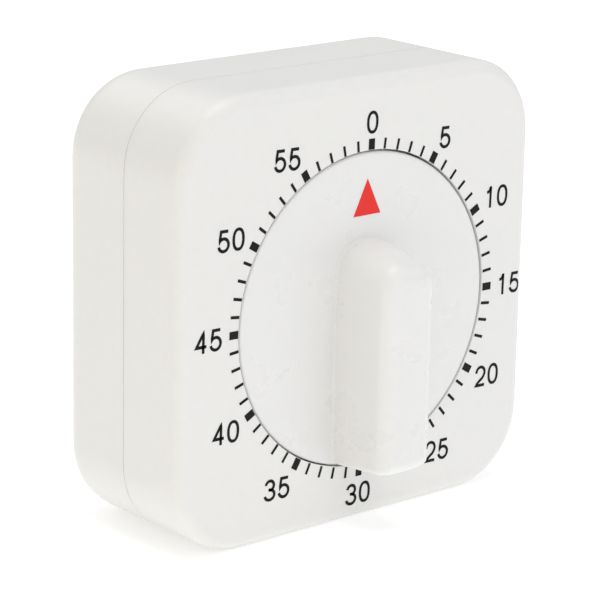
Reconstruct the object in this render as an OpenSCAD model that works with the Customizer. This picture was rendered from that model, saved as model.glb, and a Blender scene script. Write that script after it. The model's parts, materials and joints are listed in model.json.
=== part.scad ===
// Sixty minute clockwork lab timer: a two-part case, a turning dial with a
// finger grip, a spring-driven train with an anchor escapement, and a bell.
// X is to the right seen from the front, Y runs to the rear, Z is up.
// The origin is the middle of the footprint, on the surface it stands on.

/* [Case] */
// Width of the case
body_w = 68; // [60:0.5:84]
// Height of the case
body_h = 67.4; // [60:0.2:84]
// Depth of the case, front face to rear face
body_d = 28.4; // [27:0.2:40]
// Radius of the four upright corners, seen from the front
corner_r = 12; // [8:0.5:16]
// Thickness of the case walls
wall = 2; // [1.4:0.1:2.4]
// Round on the edge of the front face
front_edge_r = 2; // [0.5:0.1:2.4]
// Round on the edge of the rear face
rear_edge_r = 4.7; // [2:0.1:6]
// Depth of the front case, from the front face to the seam
seam_depth = 12.8; // [10:0.1:14]
// Width and depth of the shadow line at the seam
seam_line = 0.12; // [0.1:0.02:0.6]
// Height of the lip that locates the rear cover in the front case
lip_h = 1.4; // [0.8:0.1:2.5]
// Distance of each case screw from the nearest side walls' outer faces
case_screw_inset = 9.4; // [8.5:0.1:11]

/* [Dial] */
// Radius of the turning dial
dial_r = 23.75; // [19:0.05:24.5]
// Mean gap around the dial
dial_gap = 0.25; // [0.25:0.05:0.8]
// Sideways shift of the case's recess from the dial's axis
recess_shift_x = -0.13; // [-0.14:0.01:0.14]
// Upward shift of the case's recess from the dial's axis
recess_shift_z = 0.11; // [-0.14:0.01:0.14]
// Bevel on the dial's front rim
dial_rim_bevel = 0.4; // [0.2:0.05:0.8]
// Thickness of the dial's disc
dial_t = 1.8; // [1.2:0.1:2.4]
// How far the dial's face lies behind the case's front face
dial_set_back = 0.15; // [0:0.05:0.6]
// Sideways place of the dial's axis from the middle of the case
dial_x = 0.8; // [-2:0.1:2]
// Distance of the dial's axis below the middle of the case
dial_drop = 1.2; // [-2:0.1:2]
// Height of the grip above the dial's face
grip_h = 10.6; // [6:0.1:12]
// Width of the grip where it meets the disc
grip_base_w = 11.4; // [9:0.1:14]
// Width of the grip's flat front
grip_top_w = 9.6; // [8:0.1:12]
// Reach of the grip above the axis, at the disc
grip_up = 11; // [8:0.1:14]
// Gap between the dial's rim and the lower end of the grip's foot
grip_rim_gap = 0.2; // [0.1:0.1:3]
// How much lower the grip's front ends than its foot, at the top
grip_lean = 2.6; // [1:0.1:4]
// How much shorter the grip's front is than its foot, at the bottom
grip_foot_lean = 0.7; // [0:0.1:2]
// Round on the grip's front edges
grip_edge_r = 2; // [0.5:0.1:2.4]
// Round on the upper corners of the grip's front
grip_corner_r = 3.6; // [1.5:0.1:4]
// Round on the lower corners of the grip, seen from the front
grip_foot_corner_r = 1.2; // [0.5:0.1:2.4]
// Thickness of the grip's walls
grip_wall = 1.8; // [1.2:0.1:2.2]
// Angle of the whole travel of the dial, in degrees
dial_travel = 354; // [300:1:356]

/* [Movement] */
// Radius of the round movement plates
plate_r = 24.5; // [22:0.1:25]
// Thickness of the movement plates
plate_t = 1; // [0.8:0.1:1.4]
// Clear height between the two movement plates
plate_gap = 9.1; // [8.6:0.1:11]
// Radius of the main arbor where it drives the dial
main_arbor_r = 2; // [1.6:0.1:2.4]
// Radial running clearance of every pivot
run_gap = 0.04; // [0.02:0.01:0.08]
// Radius of the small pivots
pivot_r = 0.6; // [0.4:0.05:0.8]
// Radius of the small arbors
arbor_r = 1; // [0.8:0.05:1.2]
// Thickness of the train wheels
wheel_t = 1; // [0.8:0.05:1.2]
// Module of the great wheel and the second pinion
great_module = 0.5; // [0.45:0.01:0.52]
// Module of the second wheel and the third pinion
second_module = 0.4; // [0.36:0.01:0.44]
// Module of the third wheel and the escape pinion
third_module = 0.35; // [0.3:0.01:0.38]
// Radius over the tips of the escape wheel
escape_tip_r = 6.4; // [5:0.1:6.6]
// Thickness of the mainspring's strip
spring_t = 0.4; // [0.25:0.05:0.5]
// Turns of the mainspring
spring_turns = 5; // [3:1:6]
// Width of the mainspring's strip
spring_w = 3.2; // [2.5:0.1:3.4]

/* [Bell] */
// Outer radius of the bell
bell_r = 14.3; // [11:0.1:15]
// Thickness of the bell's metal
bell_t = 0.9; // [0.6:0.1:1.4]
// Radius of the bell's post
bell_post_r = 1.8; // [1.4:0.1:2.2]
// Radius of the hammer's head
hammer_r = 2; // [1.4:0.1:2.2]
// Gap between the resting hammer and the bell
strike_gap = 0.3; // [0.15:0.05:0.6]

/* [Hidden] */
$fn = 64;
eps = 0.01;

function polar(r, a) = [r * cos(a), r * sin(a)];
function chord_angle(c, r) = 2 * asin(c / 2 / r);
function bearing(p, q) = atan2(q[1] - p[1], q[0] - p[0]);

// Fits
fit = 0.02;                                   // clearance of a fit that doesn't turn
end_float = 0.05;                             // play between an arbor's shoulders and the plates
pin_sides = 32;                               // sides drawn on small round pieces
round_sides = 96;                             // sides drawn on large round pieces

// Depths, all measured rearwards from the front face of the case
dial_back = dial_set_back + dial_t;           // rear of the dial's disc
stop_h = 0.9;                                 // height of the dial's stop tabs
stop_overlap = 0.6;                           // how far the two stop tabs pass each other
recess_depth = dial_back + 2 * stop_h - stop_overlap; // front of the recess floor
recess_t = 1.6;                               // thickness of the recess floor
recess_back = recess_depth + recess_t;
plate_stand_off = 1;                          // boss height behind the recess floor
plate_1 = recess_back + plate_stand_off;      // front of the front plate
plate_1_back = plate_1 + plate_t;
plate_2 = plate_1_back + plate_gap;           // front of the back plate
plate_2_back = plate_2 + plate_t;
spring_room = 0.4;                            // clearance before and behind the mainspring
spring_1 = plate_1_back + spring_room;        // front of the mainspring
great_1 = spring_1 + spring_w + spring_room;  // front of the great wheel
great_2 = great_1 + wheel_t;                  // rear of the great wheel
layer_2 = great_2 + 0.5;                      // front of the second and escape wheels
layer_3 = layer_2 + wheel_t + 0.7;            // front of the third wheel
inner_back = body_d - wall;                   // inner face of the rear wall
bell_rim = plate_2_back + 2;                  // rim of the bell
bell_back = inner_back - 2;                   // closed end of the bell

// Case
axis_z = body_h / 2 - dial_drop;
recess_shift = [recess_shift_x, recess_shift_z];
recess_r = dial_r + dial_gap;
recess_wall = 1.6;
lip_fit = 0.05;                               // clearance round the lip
case_screw_r = 1.3;
case_screw_head_r = 2.4;
case_screw_head_h = 1.6;
case_screw_tip = wall + 5;                    // depth of the screws' tips
case_boss_r = 3.2;
case_boss_seam = 17;                          // depth where front and rear bosses meet
case_screw_seat = case_boss_seam + 3;         // depth of the shoulder under the screw head
case_screw_x = body_w / 2 - case_screw_inset;
case_screw_z = body_h / 2 - case_screw_inset;
sound_slot_pitch = 4.2;
sound_slot_w = 1.8;
sound_slot_len = 20;

// Dial: two tabs on one circle meet at both ends of the travel
stop_r = dial_r - 2.5;
stop_at = 180;                                // direction of the stop from the axis
stop_half = (360 - dial_travel) / 4;          // half the angle between the tabs' centres at rest
stop_tab_r = stop_r * sin(stop_half) - fit;
hub_wall = 2;                                 // wall of the dial's hub
hub_gap = 0.3;                                // gap round the hub where it passes the case
hub_back = plate_1 - 0.2;                     // rear of the hub
hub_r = main_arbor_r + hub_wall;
arbor_front = -grip_h / 2;                    // depth of the main arbor's front end
grip_steps = 8;                               // points along each round of the grip's outline

// Main arbor
arbor_flat_at = 0.6;                          // distance of the driving flat from the axis, in radii
collar_r = main_arbor_r + 0.6;                // collar inside the mainspring
seat_r = main_arbor_r + 0.2;                  // seat of the great wheel, ratchet and cam
waist_r = main_arbor_r - 0.2;                 // plain length behind the cam
tail_r = main_arbor_r - 1;                    // rear pivot

// Train: its arbors stand on one circle round the main arbor
great_teeth = 64;
wheel_teeth = 48;
pinion_teeth = 8;
escape_teeth = 15;
rim_w = 1.4;                                  // width of a crossed wheel's rim
wheel_hub_w = 1.6;                            // width of the ring round a crossed wheel's bore
pinion_stand = 0.2;                           // how far a pinion passes its wheel on each side
great_reach = great_module * (great_teeth + pinion_teeth) / 2;
second_reach = second_module * (wheel_teeth + pinion_teeth) / 2;
third_reach = third_module * (wheel_teeth + pinion_teeth) / 2;
pallet_reach = escape_tip_r + 3.1;            // anchor axis from the escape wheel's axis
second_at = 60;                               // directions from the main arbor
third_at = second_at - chord_angle(second_reach, great_reach);
escape_at = third_at - chord_angle(third_reach, great_reach);
anchor_at = escape_at - chord_angle(pallet_reach, great_reach);
second_c = polar(great_reach, second_at);
third_c = polar(great_reach, third_at);
escape_c = polar(great_reach, escape_at);
anchor_c = polar(great_reach, anchor_at);
train = [second_c, third_c, escape_c, anchor_c];

// Ratchet, its click and the cam that trips the hammer
ratchet_r = main_arbor_r + 2.3;
ratchet_teeth = 12;
ratchet_tooth = 0.9;                          // height of a ratchet tooth
ratchet_t = 0.4;
click_at = 20;                                // direction of the click from the axis
click_pad_r = 0.9;
cam_r = 6;
cam_drop = 1.6;                               // height of the cam's step
cam_tip_at = 200;                             // direction of the cam's step

// Plates and their fasteners
pillar_r = 1.6;
pillar_tenon_r = 1;
pillar_angles = [100, 172, 236, 300];
pillar_places = [for (a = pillar_angles) polar(plate_r - 3, a)];
pillar_nut_r = 2;
pillar_nut_h = 1.2;
ear_angles = [90, 210, 330];
ear_r = 2.9;
ear_out = 3.5;                                // ear hole's distance outside the plate's rim
ear_places = [for (a = ear_angles) polar(plate_r + ear_out, a)];
movement_screw_r = 1;
movement_screw_head_r = 1.9;
movement_screw_head_h = 1.2;
movement_screw_tip = wall + 0.6;              // depth of the screws' tips

// Mainspring
spring_post_r = 0.9;
spring_post_tenon_r = 0.6;
spring_inner_r = collar_r + 0.1;
spring_outer_r = great_module * great_teeth / 2 - 2.2;
spring_end = -120;                            // direction of the spring's outer end
spring_post_c = polar(spring_outer_r + spring_post_r + fit, spring_end);
spring_steps = 24;                            // points in each turn of the spiral
spring_last = spring_turns * spring_steps;

// Anchor
pallet_r = 0.4;
pallet_spread = 50;                           // degrees from the line between the two axes
pallet_circle = escape_tip_r + 1;
pallet_eye_r = 0.9;
pallet_places = [for (s = [-1, 1])
    escape_c + polar(pallet_circle, bearing(escape_c, anchor_c) + s * pallet_spread)];
anchor_1 = layer_2 + wheel_t + 0.35;          // front of the anchor
anchor_t = 0.8;
anchor_hub_r = 2;
anchor_arm_w = 1.6;

// Bell and hammer
bell_c = [5, 1];                              // the bell's axis
bell_round_r = 3;                             // round between the bell's side and its closed end
bell_post_tenon_r = bell_post_r - 0.4;
bell_stud_r = bell_post_r - 0.8;              // stud that the bell hangs on
bell_screw_r = 2.6;
bell_screw_h = 1.4;
hammer_c = [-17.2, -8];                       // the hammer's axis
hammer_swing = 12;                            // degrees away from the bell
hammer_head_c = [bell_c[0] - bell_r - strike_gap - hammer_r, bell_c[1]];
hammer_head_h = 2.4;
hammer_pin_r = 0.7;                           // pin that joins the head to its arm
hammer_arm_1 = plate_2_back + 1.9;            // front of the hammer's arm
hammer_arm_t = 1;
hammer_arm_2 = hammer_arm_1 + hammer_arm_t;
hammer_arm_w = 1.6;
hammer_dir = bearing(hammer_c, hammer_head_c);
tail_tip = polar(cam_r + 1, 193);
stop_pin_r = 0.6;
stop_pin_c = hammer_c + polar(7, hammer_dir) + polar(hammer_arm_w / 2 + stop_pin_r + fit, hammer_dir - 90);
hammer_wire = 0.4;                            // thickness of the hammer spring's wire
hammer_coils = 3;
hammer_coil_r = arbor_r + 0.7;
hammer_coil_1 = plate_2_back + 0.45;          // depth of the first coil's wire
spring_pin_r = 0.4;
spring_pin_c = hammer_c + [-4, -4];
spring_leg_at = hammer_dir + hammer_swing + 19;  // clear of the arm when the hammer is cocked
spring_leg_len = 5.5;                         // the leg's end, from the hammer's axis

// Extrudes a flat outline between two depths, keeping right as right and up as up.
module slab(near, far) {
    translate([0, far - body_d / 2, 0]) rotate([90, 0, 0]) linear_extrude(far - near) children();
}

// Places children on the middle of the case, on the dial's axis, and at a point [x, z].
module at_middle() translate([0, 0, body_h / 2]) children();
module at_dial() translate([dial_x, 0, axis_z]) children();
module at(p) translate([p[0], 0, p[1]]) children();

// A round bar between two depths.
module bar(r, near, far, sides = 48) slab(near, far) circle(r, $fn = sides);

module rounded_outline(w, h, r) {
    union() {
        square([w - 2 * r, h], center = true);
        square([w, h - 2 * r], center = true);
        for (x = [-1, 1], z = [-1, 1]) translate([x * (w / 2 - r), z * (h / 2 - r)]) circle(r);
    }
}

// Edge section of a block: x runs outwards from the corner's centre, y is depth.
module edge_section(reach, near, far, near_r, far_r) {
    union() {
        translate([0, near + near_r]) square([reach, far - near - near_r - far_r]);
        if (near_r > 0) {
            translate([0, near]) square([reach - near_r, near_r]);
            intersection() {
                translate([reach - near_r, near + near_r]) circle(near_r);
                translate([reach - near_r, near]) square(near_r);
            }
        }
        if (far_r > 0) {
            translate([0, far - far_r]) square([reach - far_r, far_r]);
            intersection() {
                translate([reach - far_r, far - far_r]) circle(far_r);
                translate([reach - far_r, far - far_r]) square(far_r);
            }
        }
    }
}

// A block with rounded corners and rounded front and rear edges.
module block(w, h, r, near, far, near_r = 0, far_r = 0) {
    x = w / 2 - r;
    z = h / 2 - r;
    translate([0, -body_d / 2, 0]) union() {
        for (c = [[x, z, 0], [-x, z, 90], [-x, -z, 180], [x, -z, 270]])
            translate([c[0], 0, c[1]]) rotate([0, -c[2], 0]) rotate([-90, 0, 0])
                mirror([0, 1, 0]) rotate_extrude(angle = 90) edge_section(r, near, far, near_r, far_r);
        for (s = [-1, 1]) {
            translate([s * x, 0, -z]) mirror([s < 0 ? 1 : 0, 0, 0])
                linear_extrude(2 * z) edge_section(r, near, far, near_r, far_r);
            translate([-x, 0, s * z]) mirror([0, 0, s < 0 ? 1 : 0]) rotate([0, 90, 0]) mirror([1, 0, 0])
                linear_extrude(2 * x) edge_section(r, near, far, near_r, far_r);
        }
        translate([-x, near, -z]) cube([2 * x, far - near, 2 * z]);
    }
}

module case_corners() for (x = [-1, 1], z = [-1, 1])
    translate([x * case_screw_x, 0, z * case_screw_z]) children();

// A screw with a cross recess, its head's seat at one depth and its tip at a smaller one.
module screw(r, head_r, head_h, seat, tip) difference() {
    union() {
        bar(head_r, seat, seat + head_h);
        bar(r, tip, seat + eps, pin_sides);
    }
    for (a = [0, 90]) slab(seat + head_h * 0.45, seat + head_h + 1) rotate(a)
        square([head_r * 1.1, head_r * 0.28], center = true);
}

// An arbor between the plates, with a pivot at each end.
module plate_arbor() union() {
    bar(arbor_r, plate_1_back + end_float, plate_2 - end_float, pin_sides);
    bar(pivot_r, plate_1, plate_1_back + end_float + eps, pin_sides);
    bar(pivot_r, plate_2 - end_float - eps, plate_2_back, pin_sides);
}

// A wheel or pinion outline with a tooth on the +X axis. Addendum and dedendum
// are in modules. The widths are shares of the tooth pitch at root, pitch circle and tip.
function tooth_ring(teeth, module_, add, ded, shares) = [
    for (i = [0 : teeth - 1], s = [
        [-1, -ded, shares[0]], [-1, 0, shares[1]], [-1, add, shares[2]],
        [1, add, shares[2]], [1, 0, shares[1]], [1, -ded, shares[0]]])
    polar(module_ * (teeth / 2 + s[1]), 360 / teeth * (i + s[0] * s[2]))
];
module wheel_outline(teeth, module_) polygon(tooth_ring(teeth, module_, 0.9, 1.5, [0.27, 0.17, 0.07]));
module pinion_outline(module_) polygon(tooth_ring(pinion_teeth, module_, 0.75, 1.4, [0.2, 0.15, 0.08]));

// Turns a driven pinion so that a gap faces the wheel that drives it.
function facing_gap(to_driver) = to_driver + 180 / pinion_teeth;

// A wheel blank with five round windows between its arms.
module crossed_wheel(teeth, module_, bore, near) {
    outside = module_ * (teeth / 2 - 1.5) - rim_w;
    inside = bore + wheel_hub_w;
    slab(near, near + wheel_t) difference() {
        wheel_outline(teeth, module_);
        circle(bore);
        for (a = [0 : 72 : 359]) rotate(a) translate([(outside + inside) / 2, 0])
            circle((outside - inside) / 2);
    }
}

// ---- Case ----

// The dial's stop tabs, one on the recess floor and one on the dial's rear.
module stop_tab(side, near, far) at(polar(stop_r, stop_at + side * stop_half))
    bar(stop_tab_r, near, far, pin_sides);

module recess(near, far) at(recess_shift) bar(recess_r, near, far, round_sides);

module front_case() color("#f3f2ef") difference() {
    union() {
        difference() {
            at_middle() block(body_w, body_h, corner_r, 0, seam_depth, front_edge_r);
            at_middle() slab(wall, seam_depth + 1)
                rounded_outline(body_w - 2 * wall, body_h - 2 * wall, corner_r - wall);
            at_middle() slab(seam_depth - lip_h - 2 * lip_fit, seam_depth + 1)
                rounded_outline(body_w - wall, body_h - wall, corner_r - wall / 2);
        }
        at_dial() at(recess_shift) bar(recess_r + recess_wall, front_edge_r, recess_back, round_sides);
        at_middle() case_corners() bar(case_boss_r, wall - eps, case_boss_seam);
        at_dial() for (p = ear_places) at(p) bar(ear_r - 0.3, wall - eps, plate_1);
    }
    at_dial() difference() {
        recess(-1, recess_depth);
        stop_tab(1, recess_depth - stop_h, recess_depth + 1);
    }
    at_dial() bar(hub_r + hub_gap, 0, recess_back + 1);
    at_middle() case_corners() bar(case_screw_r + fit, wall + 2, case_boss_seam + 1, pin_sides);
    at_dial() for (p = ear_places) at(p) bar(movement_screw_r + fit, wall, plate_1 + 1, pin_sides);
}

module sound_slot() union() {
    square([sound_slot_len, sound_slot_w], center = true);
    for (s = [-1, 1]) translate([s * sound_slot_len / 2, 0]) circle(sound_slot_w / 2);
}

module back_cover() color("#f1f0ed") difference() {
    union() {
        difference() {
            union() {
                at_middle() block(body_w, body_h, corner_r, seam_depth + seam_line, body_d, 0, rear_edge_r);
                at_middle() slab(seam_depth, seam_depth + seam_line + eps)
                    rounded_outline(body_w - 2 * seam_line, body_h - 2 * seam_line, corner_r - seam_line);
                at_middle() slab(seam_depth - lip_h, seam_depth + eps) rounded_outline(
                    body_w - wall - 2 * lip_fit, body_h - wall - 2 * lip_fit, corner_r - wall / 2 - lip_fit);
            }
            at_middle() block(body_w - 2 * wall, body_h - 2 * wall, corner_r - wall,
                seam_depth - lip_h - 1, inner_back, 0, rear_edge_r - wall);
        }
        at_middle() case_corners() bar(case_boss_r + 1, case_boss_seam, inner_back + eps);
    }
    at_middle() case_corners() bar(case_screw_r + 0.15, case_boss_seam - 1, body_d, pin_sides);
    at_middle() case_corners() bar(case_screw_head_r + 0.3, case_screw_seat, body_d + 1);
    at_middle() for (i = [-2 : 2]) translate([0, 0, i * sound_slot_pitch])
        slab(inner_back - 1, body_d + 1) sound_slot();
}

module case_screws() color("silver") at_middle() case_corners()
    screw(case_screw_r, case_screw_head_r, case_screw_head_h, case_screw_seat, case_screw_tip);

// ---- Dial and main arbor ----

// Points along an arc, both ends included.
function arc_points(c, r, from, to) =
    [for (i = [0 : grip_steps]) c + polar(r, from + (to - from) * i / grip_steps)];

// The grip's outline at one depth. Its lower end follows a circle round the dial's axis.
function grip_outline(half, top, end_r, corner, foot_corner) = let (
    x = half - corner, z = top - corner,
    foot_x = half - foot_corner, foot_turn = asin(foot_x / (end_r - foot_corner)),
    foot_z = -(end_r - foot_corner) * cos(foot_turn))
    concat(
        [for (i = [1 : grip_steps - 1]) polar(end_r, 270 + foot_turn * (2 * i / grip_steps - 1))],
        arc_points([foot_x, foot_z], foot_corner, 270 + foot_turn, 360),
        arc_points([x, z], corner, 0, 90),
        arc_points([-x, z], corner, 90, 180),
        arc_points([-foot_x, foot_z], foot_corner, 180, 270 - foot_turn));

// The outline at a depth, drawn in on all sides by an inset.
function grip_section(depth, inset) = let (
    rise = max(0, (dial_set_back - depth) / grip_h),
    half = (grip_base_w + (grip_top_w - grip_base_w) * rise) / 2 - inset,
    corner = grip_base_w / 2 * (1 - rise) + grip_corner_r * rise - inset)
    grip_outline(half, grip_up - grip_lean * rise ^ 1.5 - inset,
        dial_r - grip_rim_gap - grip_foot_lean * rise - inset,
        min(max(corner, 0.3), half - 0.05), max(grip_foot_corner_r - inset, 0.3));

// The grip as a closed skin over rings of points, from its back to its softened front.
// A shrunken copy is its hollow.
module grip_solid(shrink, back) {
    edge = max(0.5, grip_edge_r - shrink);
    front = dial_set_back - grip_h + shrink;
    rings = concat([[back, 0]],
        [for (t = [0 : 0.25 : 0.75]) [dial_set_back + (front + edge - dial_set_back) * t, 0]],
        [for (a = [0 : 18 : 90]) [front + edge * (1 - sin(a)), edge * (1 - cos(a))]]);
    sections = [for (r = rings) grip_section(r[0], r[1] + shrink)];
    count = len(sections[0]);
    last = len(rings) - 1;
    polyhedron(
        points = [for (j = [0 : last], p = sections[j]) [p[0], rings[j][0] - body_d / 2, p[1]]],
        faces = concat(
            [[for (i = [0 : count - 1]) i]],
            [[for (i = [count - 1 : -1 : 0]) last * count + i]],
            [for (j = [0 : last - 1], i = [0 : count - 1], far = [0, 1]) let (
                a = j * count + i, b = j * count + (i + 1) % count)
                far == 1 ? [a, a + count, b + count] : [a, b + count, b]]));
}

// A bar with one flat, for the dial to grip.
module flatted_bar(r, near, far) slab(near, far) difference() {
    circle(r);
    translate([-r, r * arbor_flat_at]) square([2 * r, r]);
}

module dial_knob() color("#f6f5f3") at_dial() difference() {
    union() {
        intersection() {
            bar(dial_r, dial_set_back, dial_back, 128);
            translate([0, dial_set_back + dial_r + dial_rim_bevel - body_d / 2, 0]) rotate([90, 0, 0])
                cylinder(h = 2 * dial_r, r1 = 2 * dial_r, r2 = 0, $fn = 128);
        }
        grip_solid(0, dial_back);
        stop_tab(-1, dial_back - eps, dial_back + stop_h);
        bar(hub_r, dial_back - eps, hub_back);
    }
    difference() {
        grip_solid(grip_wall, dial_back + 1);
        bar(hub_r, -grip_h - 1, dial_back + 2);
    }
    flatted_bar(main_arbor_r + fit, arbor_front - 0.1, hub_back + 1);
}

module main_arbor() color("silver") at_dial() union() {
    flatted_bar(main_arbor_r, arbor_front, plate_1 - 0.1);
    bar(main_arbor_r, plate_1 - 0.1 - eps, plate_1_back + end_float + eps);
    bar(collar_r, plate_1_back + end_float, great_1);
    bar(seat_r, great_1 - eps, layer_3 + wheel_t);
    bar(waist_r, layer_3 + wheel_t - eps, plate_2 - end_float);
    bar(tail_r, plate_2 - end_float - eps, plate_2_back + 0.4, pin_sides);
}

// A tooth of the great wheel faces the second pinion.
module great_wheel() color("#d2b35a") at_dial() rotate([0, -second_at, 0])
    crossed_wheel(great_teeth, great_module, seat_r + fit, great_1);

module ratchet_wheel() color("silver") at_dial() slab(great_2, great_2 + ratchet_t) difference() {
    polygon([for (i = [0 : ratchet_teeth - 1], s = [[0, 0], [0, -ratchet_tooth], [0.85, -0.1]])
        polar(ratchet_r + s[1], 360 / ratchet_teeth * (i + s[0]))]);
    circle(seat_r + fit);
}

// A spring click: a round pad on the great wheel's face, with a straight tongue beside the ratchet.
module ratchet_click() color("silver") at_dial() slab(great_2, great_2 + ratchet_t)
    rotate(click_at) translate([ratchet_r + 0.15, 0]) union() {
        translate([1.15, 0]) circle(click_pad_r, $fn = pin_sides);
        translate([0, -3]) square([0.5, 3]);
        translate([0, -0.5]) square([1.2, 0.9]);
    }

module strike_cam() color("silver") at_dial() slab(layer_3, layer_3 + wheel_t) difference() {
    polygon([for (a = [0 : 10 : 359]) polar(cam_r - cam_drop * a / 359, cam_tip_at + a)]);
    circle(seat_r + fit);
}

// ---- Plates ----

module front_plate() color("#c9cbcc") at_dial() slab(plate_1, plate_1_back) difference() {
    union() {
        circle(plate_r, $fn = round_sides);
        for (p = ear_places) translate(p) circle(ear_r);
        for (a = ear_angles) rotate(a) translate([plate_r - 3, -ear_r]) square([ear_out + 3, 2 * ear_r]);
    }
    circle(main_arbor_r + run_gap);
    for (p = concat(train, [hammer_c])) translate(p) circle(pivot_r + run_gap, $fn = pin_sides);
    for (p = pillar_places) translate(p) circle(pillar_tenon_r + fit, $fn = pin_sides);
    for (p = ear_places) translate(p) circle(movement_screw_r + 0.1, $fn = pin_sides);
    translate(spring_post_c) circle(spring_post_tenon_r + fit, $fn = pin_sides);
}

module back_plate() color("#c9cbcc") at_dial() slab(plate_2, plate_2_back) difference() {
    circle(plate_r, $fn = round_sides);
    circle(tail_r + run_gap, $fn = pin_sides);
    for (p = train) translate(p) circle(pivot_r + run_gap, $fn = pin_sides);
    translate(hammer_c) circle(arbor_r + run_gap, $fn = pin_sides);
    for (p = pillar_places) translate(p) circle(pillar_tenon_r + fit, $fn = pin_sides);
    translate(bell_c) circle(bell_post_tenon_r + fit, $fn = pin_sides);
    translate(stop_pin_c) circle(stop_pin_r + fit, $fn = pin_sides);
    translate(spring_pin_c) circle(spring_pin_r + fit, $fn = pin_sides);
}

module plate_pillars() color("silver") at_dial() for (p = pillar_places) at(p) union() {
    bar(pillar_r, plate_1_back, plate_2);
    bar(pillar_tenon_r, plate_1, plate_1_back + eps, pin_sides);
    bar(pillar_tenon_r, plate_2 - eps, plate_2_back + pillar_nut_h + 0.4, pin_sides);
}

module pillar_nuts() color("silver") at_dial() for (p = pillar_places) at(p)
    slab(plate_2_back, plate_2_back + pillar_nut_h) difference() {
        circle(pillar_nut_r, $fn = 6);
        circle(pillar_tenon_r + fit, $fn = pin_sides);
    }

module movement_screws() color("silver") at_dial() for (p = ear_places) at(p)
    screw(movement_screw_r, movement_screw_head_r, movement_screw_head_h, plate_1_back, movement_screw_tip);

// ---- Mainspring ----

// A point of the spiral strip, on its outer (side 1) or inner (side -1) face.
function spring_at(i, side) = polar(
    spring_inner_r + spring_t / 2 + side * spring_t / 2
        + (spring_outer_r - spring_t - spring_inner_r) * i / spring_last,
    360 * i / spring_steps + spring_end);

module mainspring() color("#5a6270") at_dial() slab(spring_1, spring_1 + spring_w)
    polygon(concat([for (i = [0 : spring_last]) spring_at(i, 1)],
        [for (i = [0 : spring_last]) spring_at(spring_last - i, -1)]));

module spring_post() color("silver") at_dial() at(spring_post_c) union() {
    bar(spring_post_r, plate_1_back, spring_1 + spring_w, pin_sides);
    bar(spring_post_tenon_r, plate_1, plate_1_back + eps, pin_sides);
}

// ---- Train ----

// An arbor with its pinion in one piece. The pinion passes its wheel on both sides.
module leaf_arbor(module_, wheel_near, to_driver) union() {
    plate_arbor();
    slab(wheel_near - pinion_stand, wheel_near + wheel_t + pinion_stand)
        rotate(facing_gap(to_driver)) pinion_outline(module_);
}

module second_pinion() color("silver") at_dial() at(second_c)
    leaf_arbor(great_module, great_1, second_at + 180);
module third_pinion() color("silver") at_dial() at(third_c)
    leaf_arbor(second_module, layer_2, bearing(third_c, second_c));
module escape_pinion() color("silver") at_dial() at(escape_c)
    leaf_arbor(third_module, layer_3, bearing(escape_c, third_c));

module second_wheel() color("#d2b35a") at_dial() at(second_c) rotate([0, -bearing(second_c, third_c), 0])
    crossed_wheel(wheel_teeth, second_module, arbor_r + fit, layer_2);
module third_wheel() color("#d2b35a") at_dial() at(third_c) rotate([0, -bearing(third_c, escape_c), 0])
    crossed_wheel(wheel_teeth, third_module, arbor_r + fit, layer_3);

module escape_wheel() color("#d2b35a") at_dial() at(escape_c) slab(layer_2, layer_2 + wheel_t) difference() {
    polygon([for (i = [0 : escape_teeth - 1], s = [[-0.12, -1.3], [0, 0], [0.12, 0], [0.45, -1.3]])
        polar(escape_tip_r + s[1], 360 / escape_teeth * (i + s[0]))]);
    circle(arbor_r + fit, $fn = pin_sides);
    for (a = [0 : 72 : 359]) rotate(a) translate([(escape_tip_r + arbor_r) / 2 - 0.3, 0])
        circle(1.2, $fn = pin_sides);
}

// ---- Anchor ----

module anchor_arbor() color("silver") at_dial() at(anchor_c) plate_arbor();

module anchor() color("#d2b35a") at_dial() slab(anchor_1, anchor_1 + anchor_t) difference() {
    union() {
        translate(anchor_c) circle(anchor_hub_r);
        for (p = pallet_places) {
            translate(p) circle(pallet_eye_r, $fn = pin_sides);
            translate(anchor_c) rotate(bearing(anchor_c, p)) translate([0, -anchor_arm_w / 2])
                square([norm(p - anchor_c), anchor_arm_w]);
        }
    }
    translate(anchor_c) circle(arbor_r + fit, $fn = pin_sides);
    for (p = pallet_places) translate(p) circle(pallet_r + fit, $fn = pin_sides);
}

module pallet_pins() color("silver") at_dial() for (p = pallet_places) at(p)
    bar(pallet_r, layer_2, anchor_1 + anchor_t, pin_sides);

// ---- Bell and hammer ----

module bell_post() color("silver") at_dial() at(bell_c) union() {
    bar(bell_post_r, plate_2_back, bell_back - bell_t, pin_sides);
    bar(bell_post_tenon_r, plate_2, plate_2_back + eps, pin_sides);
    bar(bell_stud_r, bell_back - bell_t - eps, bell_back + bell_screw_h, pin_sides);
}

module bell() color("#c8cacb") at_dial() at(bell_c) translate([0, -body_d / 2, 0]) rotate([-90, 0, 0])
    rotate_extrude($fn = round_sides) difference() {
        edge_section(bell_r, bell_rim, bell_back, 0, bell_round_r);
        translate([0, -eps])
            edge_section(bell_r - bell_t, bell_rim, bell_back - bell_t + eps, 0, bell_round_r - bell_t);
        square([bell_stud_r + fit, body_d]);
    }

module bell_screw() color("silver") at_dial() at(bell_c)
    slab(bell_back, bell_back + bell_screw_h) difference() {
        circle(bell_screw_r, $fn = 6);
        circle(bell_stud_r + fit, $fn = pin_sides);
    }

module hammer_arbor() color("silver") at_dial() at(hammer_c) union() {
    bar(pivot_r, plate_1, plate_1_back + end_float + eps, pin_sides);
    bar(arbor_r, plate_1_back + end_float, hammer_arm_2, pin_sides);
}

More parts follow.
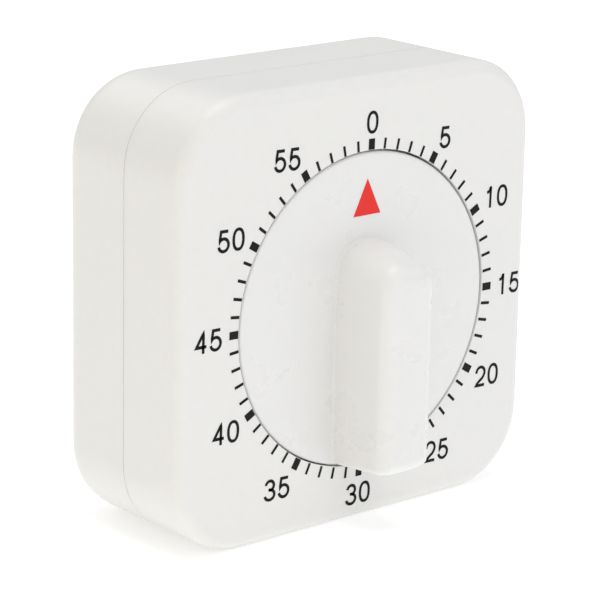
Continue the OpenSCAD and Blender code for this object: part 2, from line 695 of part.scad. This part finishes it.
// A flat lever with an eye on the hammer's arbor and a round far end.
module lever_outline(to, w, tip_r) difference() {
    union() {
        translate(hammer_c) circle(arbor_r + 0.9, $fn = 48);
        translate(hammer_c) rotate(bearing(hammer_c, to)) translate([0, -w / 2])
            square([norm(to - hammer_c), w]);
        translate(to) circle(tip_r, $fn = pin_sides);
    }
    translate(hammer_c) circle(arbor_r + fit, $fn = pin_sides);
}

module hammer_tail() color("#c9cbcc") at_dial() slab(layer_3, layer_3 + wheel_t)
    lever_outline(tail_tip, 1.4, 0.7);
module hammer_arm() color("#c9cbcc") at_dial() slab(hammer_arm_1, hammer_arm_2) difference() {
    lever_outline(hammer_head_c, hammer_arm_w, hammer_pin_r * 2);
    translate(hammer_head_c) circle(hammer_pin_r + fit, $fn = pin_sides);
}
module hammer_head() color("#d2b35a") at_dial() at(hammer_head_c) union() {
    bar(hammer_r, hammer_arm_2, hammer_arm_2 + hammer_head_h);
    bar(hammer_pin_r, hammer_arm_1, hammer_arm_2 + eps, pin_sides);
}

// The stop pin holds the resting hammer just off the bell.
module hammer_stop() color("silver") at_dial() at(stop_pin_c)
    bar(stop_pin_r, plate_2, hammer_arm_2, pin_sides);

// A coil round the hammer's arbor, drawn wound: one leg bears on a pin in the
// back plate and the other waits where the hammer's arm is when it is cocked.
module wire_leg(from, to) {
    translate([from[0], plate_2_back + 1 - body_d / 2, from[1]]) rotate([0, 90 - bearing(from, to), 0])
        cylinder(h = norm(to - from), r = hammer_wire / 2, $fn = 24);
}
module hammer_spring() color("silver") at_dial() union() {
    at(hammer_c) for (i = [0 : hammer_coils - 1])
        translate([0, hammer_coil_1 + i * (hammer_wire - fit) - body_d / 2, 0]) rotate([-90, 0, 0])
            rotate_extrude($fn = 48) translate([hammer_coil_r, 0]) circle(hammer_wire / 2, $fn = 16);
    wire_leg(hammer_c + polar(hammer_coil_r, bearing(hammer_c, spring_pin_c)), spring_pin_c);
    at(spring_pin_c) bar(spring_pin_r, plate_2, plate_2_back + 1.3, 24);
    wire_leg(hammer_c + polar(hammer_coil_r, spring_leg_at), hammer_c + polar(spring_leg_len, spring_leg_at));
}

front_case();
back_cover();
case_screws();
dial_knob();
main_arbor();
great_wheel();
ratchet_wheel();
ratchet_click();
strike_cam();
front_plate();
back_plate();
plate_pillars();
pillar_nuts();
movement_screws();
mainspring();
spring_post();
second_pinion();
second_wheel();
third_pinion();
third_wheel();
escape_pinion();
escape_wheel();
anchor_arbor();
anchor();
pallet_pins();
bell_post();
bell();
bell_screw();
hammer_arbor();
hammer_tail();
hammer_arm();
hammer_head();
hammer_spring();
hammer_stop();
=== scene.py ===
"""Clockwork lab timer: looks, print, floor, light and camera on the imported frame."""
import json
import math

import bpy
from mathutils import Matrix, Vector

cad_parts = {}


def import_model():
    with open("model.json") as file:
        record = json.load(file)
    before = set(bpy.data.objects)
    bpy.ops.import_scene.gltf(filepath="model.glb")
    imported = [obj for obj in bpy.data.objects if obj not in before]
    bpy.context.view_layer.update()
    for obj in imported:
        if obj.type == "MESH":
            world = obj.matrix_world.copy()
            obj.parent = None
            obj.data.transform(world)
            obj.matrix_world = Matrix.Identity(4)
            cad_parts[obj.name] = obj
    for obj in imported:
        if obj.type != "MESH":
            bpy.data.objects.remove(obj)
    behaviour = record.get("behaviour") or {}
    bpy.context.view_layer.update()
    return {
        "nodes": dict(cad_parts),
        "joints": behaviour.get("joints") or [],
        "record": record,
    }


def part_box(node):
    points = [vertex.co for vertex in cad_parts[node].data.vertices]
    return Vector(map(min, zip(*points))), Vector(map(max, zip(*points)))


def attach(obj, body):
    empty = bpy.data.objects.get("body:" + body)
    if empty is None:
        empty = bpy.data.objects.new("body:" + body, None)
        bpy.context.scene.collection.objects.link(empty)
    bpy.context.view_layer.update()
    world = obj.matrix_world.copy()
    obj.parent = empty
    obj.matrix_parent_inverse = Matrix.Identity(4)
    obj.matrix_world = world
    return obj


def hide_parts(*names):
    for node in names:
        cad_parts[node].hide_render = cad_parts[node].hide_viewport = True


MM = 0.001

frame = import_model()

# ---- Places and sizes, in millimetres, from the frame ----

CASE_LOW, CASE_HIGH = (Vector(c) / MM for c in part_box("front_case"))
COVER_HIGH = Vector(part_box("back_cover")[1]) / MM
DIAL_AXIS = Vector(next(j for j in frame["joints"] if j["name"] == "dial_turn")["pos_m"]) / MM
FRONT_Y = CASE_LOW.y
CASE_MIDDLE = Vector(((CASE_LOW.x + CASE_HIGH.x) / 2, (FRONT_Y + COVER_HIGH.y) / 2,
                      (CASE_LOW.z + CASE_HIGH.z) / 2))

DIAL_LOW, DIAL_HIGH = (Vector(c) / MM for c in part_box("dial_knob"))

DIAL_SET_BACK = 0.15      # dial's face behind the case's front face
DIAL_RADIUS = (DIAL_HIGH.x - DIAL_LOW.x) / 2
DIAL_THICKNESS = 1.8
DIAL_RIM_ROUND = 0.4      # round on the front of the rim
DIAL_REAR_BEVEL = 0.2     # bevel on the rear of the rim
HUB_RADIUS = 4
HUB_BACK = DIAL_HIGH.y - FRONT_Y
DIAL_GAP = 0.25           # mean gap between the dial and its recess
RECESS_RADIUS = DIAL_RADIUS + DIAL_GAP
RECESS_SHIFT = Vector((-0.13, 0.11))      # the recess's centre from the dial's axis

GRIP_HEIGHT = FRONT_Y + DIAL_SET_BACK - DIAL_LOW.y
GRIP_FOOT_HALF = 5.7      # half width at the disc, above the fillet
GRIP_FRONT_HALF = 4.8     # half width at the front
GRIP_UP = 11              # reach above the axis, at the disc
GRIP_LEAN = 2.6           # how much lower the front ends, at the top
GRIP_END = DIAL_RADIUS - 0.2              # radius of the lower end, at the disc
GRIP_END_LEAN = 0.7       # how much higher the front ends, at the bottom
GRIP_CORNER = 3.6         # round on the upper corners of the front
GRIP_END_CORNER = 1.2     # round on the lower corners
GRIP_FILLET = 0.35        # fillet round the foot
GRIP_EDGE_IN = 2.4        # round on the front edges, inwards
GRIP_EDGE_BACK = 2.0      # and backwards
GRIP_CROWN = 0.15         # how much the front face bulges

FRONT_EDGE_ROUND = 2      # round on the case's front edges
PRINT_LIFT = 0.015        # print above the plastic
PRINT_STEP = 0.4          # longest piece of a stroke, which lets it follow the rounded edge
SCALE_RADIUS = 24.9       # middle of the ring of marks
MARK_CLEAR = 0.04         # least distance from a mark to the recess
MARK_LENGTH = 1.75
MARK_WIDTH = 0.46
FIVE_MARK_WIDTH = 1.2
SCALE_TURN = 1.13         # the print sits this many degrees clockwise of true
NUMERAL_HEIGHT = 3.4
NUMERAL_WIDTH = 2.24
NUMERAL_GAP = 0.42
NUMERAL_STROKE = 0.48
NUMERAL_REACH = 27.1      # sideways, to a numeral's inner side
NUMERAL_RISE = 28.35      # up and down, to its middle
NUMERAL_DROP = 0.15       # how far all of them sit below their circle
POINTER_TIP = 19.9        # from the dial's axis
POINTER_BASE = 14.4
POINTER_WIDTH = 5.3

LIGHT_DISTANCE = 1.2      # metres, from the case's middle
LIGHT_SIZE = 0.9
CAMERA_TURN = (-40.698, 15.734, 1.084)    # azimuth, elevation and roll in degrees
CAMERA_DISTANCE = 419.7
CAMERA_AIM = Vector((-0.29, -0.70, -2.56))    # from the case's middle


# ---- Small helpers ----

def on_front(x, z, depth):
    """A point in metres: x and z in millimetres from the dial's axis, depth behind the front face."""
    return Vector((DIAL_AXIS.x + x, FRONT_Y + depth, DIAL_AXIS.z + z)) * MM


def clockwise(x, z, degrees):
    """Turns a point round the dial's axis, clockwise seen from the front."""
    a = math.radians(degrees)
    return x * math.cos(a) + z * math.sin(a), z * math.cos(a) - x * math.sin(a)


def arc(cx, cz, rx, rz, start, stop, steps=14):
    """Points along an ellipse, angles in degrees anticlockwise from +X."""
    angles = [math.radians(start + (stop - start) * i / steps) for i in range(steps + 1)]
    return [(cx + rx * math.cos(a), cz + rz * math.sin(a)) for a in angles]


def mesh_piece(name, points, faces, body, material, replaces=()):
    """A mesh from points in metres, riding on a body."""
    mesh = bpy.data.meshes.new(name)
    mesh.from_pydata(points, [], faces)
    mesh.update()
    piece = bpy.data.objects.new(name, mesh)
    bpy.context.scene.collection.objects.link(piece)
    mesh.materials.append(material)
    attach(piece, body)
    if replaces:
        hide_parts(*replaces)
    return piece


# ---- Materials ----

class Nodes:
    """A material's node tree, with short ways to add and join nodes."""

    def __init__(self, name):
        self.material = bpy.data.materials.new(name)
        self.material.use_nodes = True
        self.tree = self.material.node_tree
        self.shader = self.tree.nodes["Principled BSDF"]

    def add(self, kind, **inputs):
        node = self.tree.nodes.new(kind)
        for key, value in inputs.items():
            node.inputs[key.replace("_", " ")].default_value = value
        return node

    def join(self, out, into):
        self.tree.links.new(out, into)

    def set(self, **values):
        for key, value in values.items():
            self.shader.inputs[key.replace("_", " ")].default_value = value

    def noise(self, scale, detail=3.0, roughness=0.55):
        """Noise in object space, scale in features per metre."""
        place = self.tree.nodes.new("ShaderNodeTexCoord")
        noise = self.add("ShaderNodeTexNoise", Scale=scale, Detail=detail, Roughness=roughness)
        self.join(place.outputs["Object"], noise.inputs["Vector"])
        return noise.outputs["Fac"]

    def ramp(self, factor, low, high, stops=(0.25, 0.75)):
        ramp = self.tree.nodes.new("ShaderNodeValToRGB")
        ramp.color_ramp.interpolation = "EASE"
        for stop, place, colour in zip(ramp.color_ramp.elements, stops, (low, high)):
            stop.position = place
            stop.color = (*colour, 1)
        self.join(factor, ramp.inputs["Fac"])
        return ramp.outputs["Color"]

    def bump(self, height, strength, distance):
        bump = self.add("ShaderNodeBump", Strength=strength, Distance=distance)
        self.join(height, bump.inputs["Height"])
        self.join(bump.outputs["Normal"], self.shader.inputs["Normal"])


def plastic(name, pale, dull, rough_low, rough_high):
    """Moulded ABS: faint fine mottling, a fine moulded grain and uneven gloss."""
    n = Nodes(name)
    n.join(n.ramp(n.noise(700, 4, 0.8), dull, pale, (0.35, 0.65)), n.shader.inputs["Base Color"])
    rough = n.ramp(n.noise(160, 4), (rough_low,) * 3, (rough_high,) * 3)
    n.join(rough, n.shader.inputs["Roughness"])
    n.bump(n.noise(1800, 2), 0.12, 0.00004)
    n.set(Subsurface_Weight=0.12, Subsurface_Scale=0.0015, IOR=1.5)
    n.shader.inputs["Subsurface Radius"].default_value = (1.0, 0.9, 0.75)
    return n.material


def metal(name, bright, dark, rough_low, rough_high, grain=900, polish=0.05):
    """Metal with fine rolling marks and slightly uneven tarnish."""
    n = Nodes(name)
    n.join(n.ramp(n.noise(130, 4), dark, bright), n.shader.inputs["Base Color"])
    n.join(n.ramp(n.noise(grain, 3), (rough_low,) * 3, (rough_high,) * 3), n.shader.inputs["Roughness"])
    n.bump(n.noise(grain, 2), polish, 0.00002)
    n.set(Metallic=1.0)
    return n.material


def ink(name, colour, thin, roughness):
    """Pad-printed ink: nearly even colour, thinner in places."""
    n = Nodes(name)
    n.join(n.ramp(n.noise(900, 3), thin, colour, (0.25, 0.5)), n.shader.inputs["Base Color"])
    n.bump(n.noise(2500, 2), 0.1, 0.00002)
    n.set(Roughness=roughness, Specular_IOR_Level=0.15)
    return n.material


CASE_WHITE = plastic("case_white", (0.80, 0.797, 0.788), (0.79, 0.786, 0.776), 0.32, 0.40)
DIAL_WHITE = plastic("dial_white", (0.80, 0.80, 0.798), (0.793, 0.792, 0.788), 0.26, 0.33)
BLACK_INK = ink("black_ink", (0.006, 0.006, 0.007), (0.012, 0.012, 0.013), 0.5)
RED_INK = ink("red_ink", (0.80, 0.035, 0.03), (0.74, 0.05, 0.04), 0.35)
SCREW_STEEL = metal("screw_steel_look", (0.72, 0.72, 0.71), (0.58, 0.58, 0.57), 0.25, 0.42)
PLATE_STEEL = metal("plate_steel_look", (0.68, 0.68, 0.68), (0.56, 0.56, 0.56), 0.28, 0.45)
BRASS = metal("brass_look", (0.83, 0.64, 0.30), (0.70, 0.50, 0.22), 0.22, 0.38)
ARBOR_STEEL = metal("arbor_steel_look", (0.62, 0.63, 0.64), (0.50, 0.51, 0.53), 0.16, 0.30)
BLUED_STEEL = metal("blued_steel_look", (0.20, 0.25, 0.38), (0.12, 0.14, 0.20), 0.22, 0.36)
NICKEL = metal("nickel_look", (0.80, 0.79, 0.77), (0.70, 0.69, 0.67), 0.10, 0.22)

LOOKS = {
    "case_abs": CASE_WHITE,
    "dial_abs": DIAL_WHITE,
    "screw_steel": SCREW_STEEL,
    "plate_steel": PLATE_STEEL,
    "wheel_brass": BRASS,
    "arbor_steel": ARBOR_STEEL,
    "spring_steel": BLUED_STEEL,
    "bell_steel": NICKEL,
}
for part in frame["record"]["subparts"]:
    for material_slot in frame["nodes"][part["node"]].material_slots:
        material_slot.material = LOOKS[part["material_slot"]]


# ---- The dial ----

def rounding(steps):
    """Sines and cosines of a quarter turn."""
    turns = [math.pi / 2 * i / steps for i in range(steps + 1)]
    return [(math.sin(a), math.cos(a)) for a in turns]


def grip_outline(half, top, end, corner, end_corner):
    """Points round the grip at one height, anticlockwise from its lower end, an arc round the axis."""
    foot_x = half - end_corner
    foot_turn = math.degrees(math.asin(foot_x / (end - end_corner)))
    foot_z = -(end - end_corner) * math.cos(math.radians(foot_turn))
    low = math.degrees(math.atan2(foot_z, half))
    high = math.degrees(math.atan2(top - corner, half))
    side = [math.radians(low + (high - low) * i / 36) for i in range(1, 36)]
    right = [(half, half * math.tan(a)) for a in side]
    left = [(-x, z) for x, z in reversed(right)]
    return (arc(0, 0, end, end, 270 - foot_turn, 270 + foot_turn, 12)[1:-1]
            + arc(foot_x, foot_z, end_corner, end_corner, 270 + foot_turn, 360, 6) + right
            + arc(half - corner, top - corner, corner, corner, 0, 90, 14)
            + arc(corner - half, top - corner, corner, corner, 90, 180, 14) + left
            + arc(-foot_x, foot_z, end_corner, end_corner, 180, 270 - foot_turn, 6))


def grip_section(height, inset):
    """The grip's outline at a height above the disc, drawn in on all sides by an inset."""
    rise = height / GRIP_HEIGHT
    half = GRIP_FOOT_HALF + (GRIP_FRONT_HALF - GRIP_FOOT_HALF) * rise - inset
    corner = GRIP_FOOT_HALF * (1 - rise) + GRIP_CORNER * rise - inset
    end = min(GRIP_END - GRIP_END_LEAN * rise - inset, GRIP_END + 0.02)
    return grip_outline(half, GRIP_UP - GRIP_LEAN * rise ** 1.5 - inset, end,
                        min(max(corner, 0.02), half - 0.01), max(GRIP_END_CORNER - max(inset, 0), 0.02))


def disc_depth(radius):
    """Depth of the disc's face, which curves back at the rim."""
    past = min(max(radius - DIAL_RADIUS + DIAL_RIM_ROUND, 0), DIAL_RIM_ROUND)
    return DIAL_SET_BACK + DIAL_RIM_ROUND - math.sqrt(DIAL_RIM_ROUND ** 2 - past ** 2)


def dial():
    """The disc, hub and grip as one closed skin of rings, from the hub's rear to the grip's front."""
    foot = grip_section(0, -GRIP_FILLET)
    ways = [Vector(p).normalized() for p in foot]
    reach = [Vector(p).length for p in foot]
    back = DIAL_SET_BACK + DIAL_THICKNESS

    def circle(radius, depth):
        return [(*(way * radius), depth) for way in ways]

    rings = [circle(HUB_RADIUS, HUB_BACK), circle(HUB_RADIUS, back),
             circle(DIAL_RADIUS - DIAL_REAR_BEVEL, back), circle(DIAL_RADIUS, back - DIAL_REAR_BEVEL)]
    for sine, cosine in rounding(7):
        limit = DIAL_RADIUS - DIAL_RIM_ROUND * (1 - cosine)
        radii = [max(limit, far + 0.02 * cosine + 0.01) for far in reach]
        rings.append([(*(way * r), disc_depth(r)) for way, r in zip(ways, radii)])
    flat = [Vector(p[:2]) for p in rings[-1]]
    for i in range(1, 8):
        points = [edge.lerp(Vector(p), i / 8) for edge, p in zip(flat, foot)]
        rings.append([(*p, disc_depth(p.length)) for p in points])
    levels = [(GRIP_FILLET * (1 - cosine), -GRIP_FILLET * (1 - sine)) for sine, cosine in rounding(7)]
    top = GRIP_HEIGHT - GRIP_CROWN
    levels += [(GRIP_FILLET + (top - GRIP_EDGE_BACK - GRIP_FILLET) * i / 10, 0) for i in range(1, 10)]
    levels += [(top - GRIP_EDGE_BACK * (1 - sine), GRIP_EDGE_IN * (1 - cosine))
               for sine, cosine in rounding(12)]
    spare = GRIP_FRONT_HALF - GRIP_EDGE_IN - 0.05
    levels += [(top + GRIP_CROWN * (1 - (1 - i / 6) ** 2), GRIP_EDGE_IN + spare * i / 6) for i in range(1, 7)]
    for height, inset in levels:
        section = grip_section(height, inset)
        rings.append([(x, z, disc_depth(math.hypot(x, z)) - height if height < GRIP_FILLET
                       else DIAL_SET_BACK - height) for x, z in section])
    count = len(foot)
    points = [on_front(x, z, depth) for ring in rings for x, z, depth in ring]
    faces = [list(range(count)), [len(points) - 1 - i for i in range(count)]]
    faces += [(j + i, j + count + i, j + count + (i + 1) % count, j + (i + 1) % count)
              for j in range(0, len(points) - count, count) for i in range(count)]
    piece = mesh_piece("dial", points, faces, "dial", DIAL_WHITE, ["dial_knob"])
    piece.data.shade_smooth()
    piece.data.set_sharp_from_angle(angle=math.radians(35))


# ---- The printed scale ----

def edge_depth(x):
    """Depth of the case's front face, which rounds off towards its sides."""
    past = max(abs(DIAL_AXIS.x + x) - CASE_HIGH.x + FRONT_EDGE_ROUND, 0)
    return FRONT_EDGE_ROUND - math.sqrt(FRONT_EDGE_ROUND ** 2 - past ** 2)


def face_print(name, shapes, depth, body, material, turn):
    """Ink on a face: each shape is a ring of (x, z) points round the dial's axis."""
    points, faces = [], []
    for shape in shapes:
        faces.append(range(len(points), len(points) + len(shape)))
        turned = [clockwise(x, z, turn) for x, z in shape]
        points += [on_front(x, z, depth + edge_depth(x) - PRINT_LIFT) for x, z in turned]
    return mesh_piece(name, points, faces, body, material)


def recess_edge(degrees):
    """Distance of the recess's edge from the dial's axis, towards a clockwise angle on the print."""
    a = math.radians(degrees + SCALE_TURN)
    along = RECESS_SHIFT.dot(Vector((math.sin(a), math.cos(a))))
    return along + math.sqrt(RECESS_RADIUS ** 2 - RECESS_SHIFT.length_squared + along ** 2)


def mark(minute):
    """One mark of the scale, as a small upright box turned to its minute. It stops at the recess."""
    half = (FIVE_MARK_WIDTH if minute % 5 == 0 else MARK_WIDTH) / 2
    low = max(SCALE_RADIUS - MARK_LENGTH / 2, recess_edge(6 * minute) + MARK_CLEAR)
    high = SCALE_RADIUS + MARK_LENGTH / 2
    return [clockwise(x, z, 6 * minute) for x, z in ((-half, low), (half, low), (half, high), (-half, high))]


def digit_lines(digit):
    """Centre lines of a plain sans-serif digit in a box 1 wide and 1 high, its origin at the lower left."""
    return {
        "0": [[(0.5 + 0.5 * math.copysign(abs(x) ** 0.88, x), 0.5 + 0.5 * math.copysign(abs(z) ** 0.88, z))
               for x, z in arc(0, 0, 1, 1, 90, 450, 40)]],
        "1": [[(0.16, 0.77), (0.3, 0.785), (0.43, 0.83), (0.54, 0.92), (0.58, 1.03)],
              [(0.6, 1.07), (0.6, -0.07)]],
        "2": [arc(0.5, 0.7, 0.49, 0.3, 184, -18, 20)
              + [(0.86, 0.47), (0.72, 0.37), (0.4, 0.24), (0.16, 0.12), (0.02, 0), (1.02, 0)]],
        "3": [arc(0.49, 0.75, 0.43, 0.25, 172, -70, 18) + [(0.5, 0.525), (0.36, 0.525)],
              [(0.36, 0.525), (0.5, 0.525)] + arc(0.48, 0.265, 0.51, 0.265, 68, -172, 20)],
        "4": [[(0.73, -0.07), (0.73, 0.97), (0.02, 0.26), (1.05, 0.26)]],
        "5": [[(0.93, 0.99), (0.2, 0.99), (0.07, 0.47)] + arc(0.48, 0.315, 0.51, 0.315, 138, -168, 24)],
    }[digit]


def divided(line):
    """The same line with its long pieces cut into short ones."""
    points = [line[0]]
    for a, b in zip(line, line[1:]):
        steps = math.ceil(math.dist(a, b) / PRINT_STEP)
        across, up = b[0] - a[0], b[1] - a[1]
        points += [(a[0] + across * i / steps, a[1] + up * i / steps) for i in range(1, steps + 1)]
    return points


def stroke(line, width):
    """A line of points drawn as quads of one width, with mitred joints."""
    closed = math.dist(line[0], line[-1]) < 1e-6
    line = [Vector(p) for p in (line[:-1] if closed else line)]
    count = len(line)
    sides = []
    for i, here in enumerate(line):
        back = line[i - 1] if closed or i else here
        ahead = line[(i + 1) % count] if closed or i < count - 1 else here
        d0 = (here - back).normalized() if here != back else (ahead - here).normalized()
        d1 = (ahead - here).normalized() if ahead != here else d0
        n0, n1 = Vector((-d0.y, d0.x)), Vector((-d1.y, d1.x))
        mitre = (n0 + n1).normalized()
        reach = width / 2 / max(mitre.dot(n0), 0.5)
        sides.append((here + mitre * reach, here - mitre * reach))
    pairs = list(zip(sides, sides[1:] + sides[:1]))[: count if closed else count - 1]
    return [[a[0], b[0], b[1], a[1]] for a, b in pairs]


def numeral(minute):
    """The strokes of one number, centred on its place."""
    text = str(minute)
    a = math.radians(6 * minute)
    width = len(text) * (NUMERAL_WIDTH + NUMERAL_GAP) - NUMERAL_GAP
    side = 0 if minute % 30 == 0 else math.copysign(1, math.sin(a))
    x = NUMERAL_REACH * math.sin(a) + side * width / 2
    z = NUMERAL_RISE * math.cos(a) - NUMERAL_DROP
    inner_w = NUMERAL_WIDTH - NUMERAL_STROKE
    inner_h = NUMERAL_HEIGHT - NUMERAL_STROKE
    shapes = []
    for i, digit in enumerate(text):
        left = x - width / 2 + i * (NUMERAL_WIDTH + NUMERAL_GAP) + NUMERAL_STROKE / 2
        for line in digit_lines(digit):
            placed = [(left + u * inner_w, z + (v - 0.5) * inner_h) for u, v in line]
            shapes += stroke(divided(placed), NUMERAL_STROKE)
    return shapes


dial()
face_print("scale_marks", [mark(m) for m in range(60)], 0, "case", BLACK_INK, SCALE_TURN)
face_print("scale_numerals", [line for m in range(0, 60, 5) for line in numeral(m)], 0, "case",
           BLACK_INK, SCALE_TURN)
POINTER = [(0, POINTER_TIP), (POINTER_WIDTH / 2, POINTER_BASE), (-POINTER_WIDTH / 2, POINTER_BASE)]
face_print("pointer", [POINTER], DIAL_SET_BACK, "dial", RED_INK, 0)


# ---- Floor, light and camera ----

def floor():
    """A white floor that glows a little, so the shadows on it stay pale."""
    bpy.ops.mesh.primitive_plane_add(size=6, location=(0, 0, 0))
    plane = bpy.context.object
    plane.name = "floor"
    n = Nodes("floor_white")
    n.join(n.ramp(n.noise(3, 2), (0.93, 0.93, 0.93), (0.95, 0.95, 0.95)), n.shader.inputs["Base Color"])
    n.set(Roughness=0.7, Emission_Color=(1, 1, 1, 1), Emission_Strength=0.3)
    plane.data.materials.append(n.material)


def area_light(name, azimuth, elevation, power, size=LIGHT_SIZE, colour=(1, 1, 1)):
    """A soft light aimed at the timer. Azimuth 0 is in front and 90 to the right, in degrees."""
    a, e = math.radians(azimuth), math.radians(elevation)
    place = Vector((math.sin(a) * math.cos(e), -math.cos(a) * math.cos(e), math.sin(e))) * LIGHT_DISTANCE
    data = bpy.data.lights.new(name, "AREA")
    data.shape = "DISK"
    data.size = size
    data.energy = power
    data.color = colour
    light = bpy.data.objects.new(name, data)
    bpy.context.scene.collection.objects.link(light)
    light.location = CASE_MIDDLE * MM + place
    light.rotation_euler = (-place).to_track_quat("-Z", "Y").to_euler()


def world(strength):
    """Even white light from all round."""
    studio = bpy.data.worlds.new("studio")
    bpy.context.scene.world = studio
    studio.use_nodes = True
    back = studio.node_tree.nodes["Background"]
    back.inputs["Color"].default_value = (1, 1, 1, 1)
    back.inputs["Strength"].default_value = strength


def camera():
    """A long lens from the front left, a little above."""
    azimuth, elevation, roll = (math.radians(d) for d in CAMERA_TURN)
    aim = CASE_MIDDLE + CAMERA_AIM
    out = Vector((math.sin(azimuth) * math.cos(elevation), -math.cos(azimuth) * math.cos(elevation),
                  math.sin(elevation)))
    level = Vector((0, 0, 1)).cross(out).normalized()
    rise = out.cross(level)
    right = level * math.cos(roll) + rise * math.sin(roll)
    up = rise * math.cos(roll) - level * math.sin(roll)
    data = bpy.data.cameras.new("camera")
    data.lens = 166.84
    data.sensor_width = 36
    data.clip_end = 20
    cam = bpy.data.objects.new("camera", data)
    bpy.context.scene.collection.objects.link(cam)
    turn = Matrix((right, up, out)).transposed().to_4x4()
    cam.matrix_world = Matrix.Translation((aim + out * CAMERA_DISTANCE) * MM) @ turn
    bpy.context.scene.camera = cam


bpy.context.scene.view_settings.view_transform = "Standard"
floor()
world(0.52)
area_light("overhead", 0, 85, 5.2)
area_light("rear", 180, 50, 2.0)
area_light("front", 0, 30, 1.6)
area_light("front_right", 40, 35, 0.8)
# A warm light whose upper part shows above the floor
area_light("low_left", -80, -5, 3.5, size=0.7, colour=(1, 0.82, 0.3))
camera()
